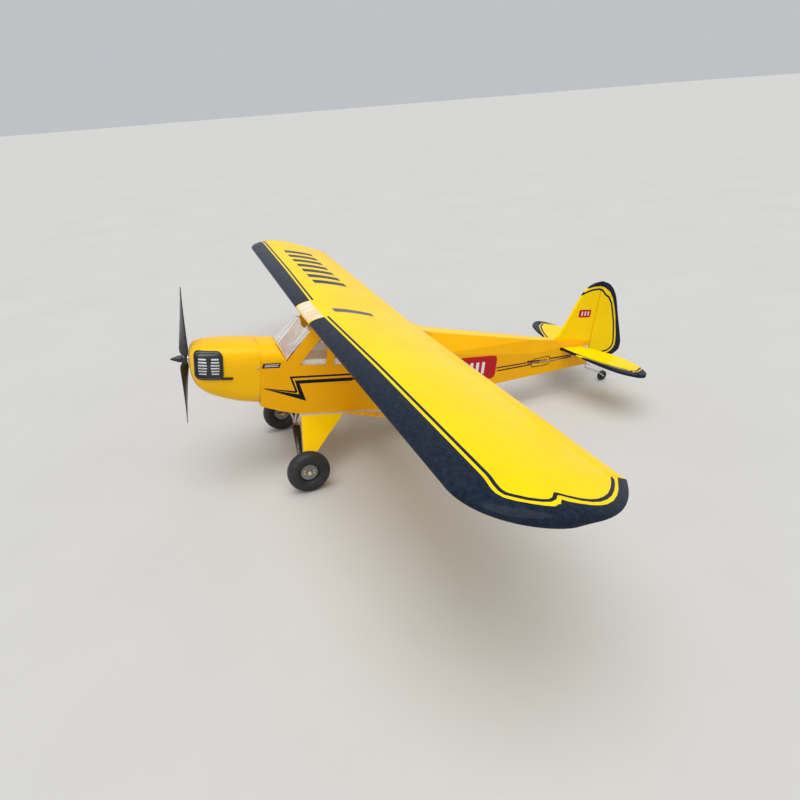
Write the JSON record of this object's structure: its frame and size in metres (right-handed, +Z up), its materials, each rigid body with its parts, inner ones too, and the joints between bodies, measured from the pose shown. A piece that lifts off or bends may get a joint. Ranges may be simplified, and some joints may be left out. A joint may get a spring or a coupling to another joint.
{
  "type": "radio-controlled model aeroplane",
  "caption": "High-wing radio-controlled tail-wheel aeroplane with strutted wing, enclosed cabin, propeller and moving control surfaces.",
  "frame": {"origin": "middle of the bounding box, on the surface that the three wheels stand on", "axes": "+X to port along the wing, -Y towards the propeller, +Z up; the fuselage is pitched 9.5 degrees nose-up, as it stands"},
  "size_m": [1.7854, 1.2198, 0.4731],
  "materials": {
    "bare_metal": "plated steel",
    "black_plastic": "glossy black moulding",
    "clear_plastic": "clear formed sheet",
    "copper_spring": "copper-coloured coil",
    "hub_grey": "grey moulded hub",
    "motor_alloy": "machined aluminium",
    "nylon": "white moulded nylon",
    "plywood": "bare laser-cut plywood",
    "prop_black": "black glass-filled nylon",
    "rubber": "soft black foam rubber",
    "servo_case": "dark moulded case",
    "yellow_film": "glossy yellow heat-shrink covering film with thin black trim",
    "yellow_paint": "yellow paint",
    "yellow_plastic": "painted glossy yellow moulding"
  },
  "bodies": {
    "airframe": {"wing_panel_port": "yellow_film", "wing_panel_starboard": "yellow_film", "aileron_servo_port": "servo_case", "aileron_servo_starboard": "servo_case", "fuselage_side_port": "yellow_film", "fuselage_side_starboard": "yellow_film", "fuselage_belly": "yellow_film", "fuselage_front_deck": "yellow_film", "fuselage_turtledeck": "yellow_film", "windscreen": "clear_plastic", "side_window_port": "clear_plastic", "side_window_starboard": "clear_plastic", "cabin_frame": "plywood", "firewall": "plywood", "cowl": "yellow_plastic", "cheek_inlet_port": "black_plastic", "cheek_inlet_starboard": "black_plastic", "cowl_screw_upper_port": "bare_metal", "cowl_screw_upper_starboard": "bare_metal", "cowl_screw_lower_port": "bare_metal", "cowl_screw_lower_starboard": "bare_metal", "motor_mount": "plywood", "gear_leg_port": "yellow_paint", "gear_leg_starboard": "yellow_paint", "shock_strut_port": "black_plastic", "shock_strut_starboard": "black_plastic", "gear_cabane": "copper_spring", "strut_front_port": "yellow_paint", "strut_front_starboard": "yellow_paint", "strut_rear_port": "yellow_paint", "strut_rear_starboard": "yellow_paint", "jury_strut_port": "yellow_paint", "jury_strut_starboard": "yellow_paint", "stabiliser": "yellow_film", "fin": "yellow_film", "elevator_servo": "servo_case", "rudder_servo": "servo_case", "tail_wheel_bracket": "bare_metal"},
    "propeller": {"propeller": "prop_black", "prop_nut": "prop_black", "prop_adapter": "motor_alloy", "motor_bell": "motor_alloy"},
    "wheel_port": {"tyre_port": "rubber", "wheel_hub_port": "hub_grey"},
    "wheel_starboard": {"tyre_starboard": "rubber", "wheel_hub_starboard": "hub_grey"},
    "rudder": {"rudder": "yellow_film", "tail_wheel_leg": "bare_metal"},
    "tail_wheel": {"tail_wheel": "rubber"},
    "elevator": {"elevator": "yellow_film"},
    "aileron_port": {"aileron_port": "yellow_film"},
    "aileron_starboard": {"aileron_starboard": "yellow_film"},
    "aileron_arm_port": {"aileron_servo_arm_port": "nylon"},
    "aileron_arm_starboard": {"aileron_servo_arm_starboard": "nylon"},
    "aileron_rod_port": {"aileron_pushrod_port": "bare_metal"},
    "aileron_rod_starboard": {"aileron_pushrod_starboard": "bare_metal"},
    "elevator_arm": {"elevator_servo_arm": "nylon"},
    "elevator_rod": {"elevator_pushrod": "bare_metal"},
    "rudder_arm": {"rudder_servo_arm": "nylon"},
    "rudder_rod": {"rudder_pushrod": "bare_metal"}
  },
  "joints": [
    {"name": "propeller_spin", "type": "hinge", "parent": "airframe", "child": "propeller", "pos_m": [0, -0.58115, 0.31165], "axis": [0, 0.9863, -0.165], "continuous": true},
    {"name": "wheel_spin_port", "type": "hinge", "parent": "airframe", "child": "wheel_port", "pos_m": [0.1633, -0.373, 0.0493], "axis": [1, 0, 0], "continuous": true},
    {"name": "wheel_spin_starboard", "type": "hinge", "parent": "airframe", "child": "wheel_starboard", "pos_m": [-0.1633, -0.373, 0.0493], "axis": [1, 0, 0], "continuous": true},
    {"name": "rudder_hinge", "type": "hinge", "parent": "airframe", "child": "rudder", "pos_m": [0, 0.50131, 0.10577], "axis": [0, 0.165, 0.9863], "range_deg": [-28, 28]},
    {"name": "tail_wheel_spin", "type": "hinge", "parent": "rudder", "child": "tail_wheel", "pos_m": [0, 0.5551, 0.0152], "axis": [1, 0, 0], "continuous": true},
    {"name": "elevator_hinge", "type": "hinge", "parent": "airframe", "child": "elevator", "pos_m": [0, 0.48077, 0.12239], "axis": [1, 0, 0], "range_deg": [-25, 25]},
    {"name": "aileron_hinge_port", "type": "hinge", "parent": "airframe", "child": "aileron_port", "pos_m": [0.49575, -0.07618, 0.32044], "axis": [0.9999, 0.0026, 0.0155], "range_deg": [-20, 20]},
    {"name": "aileron_hinge_starboard", "type": "hinge", "parent": "airframe", "child": "aileron_starboard", "pos_m": [-0.49575, -0.07618, 0.32044], "axis": [0.9999, -0.0026, -0.0155], "range_deg": [-20, 20]},
    {"name": "aileron_arm_turn_port", "type": "hinge", "parent": "airframe", "child": "aileron_arm_port", "pos_m": [0.5024, -0.12745, 0.32909], "axis": [1, 0, 0], "range_deg": [-20, 20]},
    {"name": "aileron_arm_turn_starboard", "type": "hinge", "parent": "airframe", "child": "aileron_arm_starboard", "pos_m": [-0.5024, -0.12745, 0.32909], "axis": [1, 0, 0], "range_deg": [-20, 20]},
    {"name": "aileron_clevis_port", "type": "hinge", "parent": "aileron_port", "child": "aileron_rod_port", "pos_m": [0.505, -0.07848, 0.3067], "axis": [1, 0, 0], "range_deg": [-20, 20]},
    {"name": "aileron_clevis_starboard", "type": "hinge", "parent": "aileron_starboard", "child": "aileron_rod_starboard", "pos_m": [-0.505, -0.07848, 0.3067], "axis": [1, 0, 0], "range_deg": [-20, 20]},
    {"name": "elevator_arm_turn", "type": "hinge", "parent": "airframe", "child": "elevator_arm", "pos_m": [0.0054, -0.19711, 0.18549], "axis": [1, 0, 0], "range_deg": [-25, 25]},
    {"name": "elevator_clevis", "type": "hinge", "parent": "elevator", "child": "elevator_rod", "pos_m": [0.027, 0.4778, 0.10464], "axis": [1, 0, 0], "range_deg": [-25, 25]},
    {"name": "rudder_arm_turn", "type": "hinge", "parent": "airframe", "child": "rudder_arm", "pos_m": [-0.02, -0.15656, 0.19153], "axis": [0, 0.165, 0.9863], "range_deg": [-28, 28]},
    {"name": "rudder_clevis", "type": "hinge", "parent": "rudder", "child": "rudder_rod", "pos_m": [-0.018, 0.49983, 0.09689], "axis": [0, 0.165, 0.9863], "range_deg": [-28, 28]}
  ],
  "couplings": [
    {"joint": "aileron_hinge_starboard", "follows": "aileron_hinge_port", "ratio": -1},
    {"joint": "aileron_arm_turn_port", "follows": "aileron_hinge_port", "ratio": 1},
    {"joint": "aileron_arm_turn_starboard", "follows": "aileron_hinge_port", "ratio": -1},
    {"joint": "aileron_clevis_port", "follows": "aileron_hinge_port", "ratio": -1},
    {"joint": "aileron_clevis_starboard", "follows": "aileron_hinge_port", "ratio": 1},
    {"joint": "elevator_arm_turn", "follows": "elevator_hinge", "ratio": 1},
    {"joint": "elevator_clevis", "follows": "elevator_hinge", "ratio": -1},
    {"joint": "rudder_arm_turn", "follows": "rudder_hinge", "ratio": 1},
    {"joint": "rudder_clevis", "follows": "rudder_hinge", "ratio": -1}
  ]
}
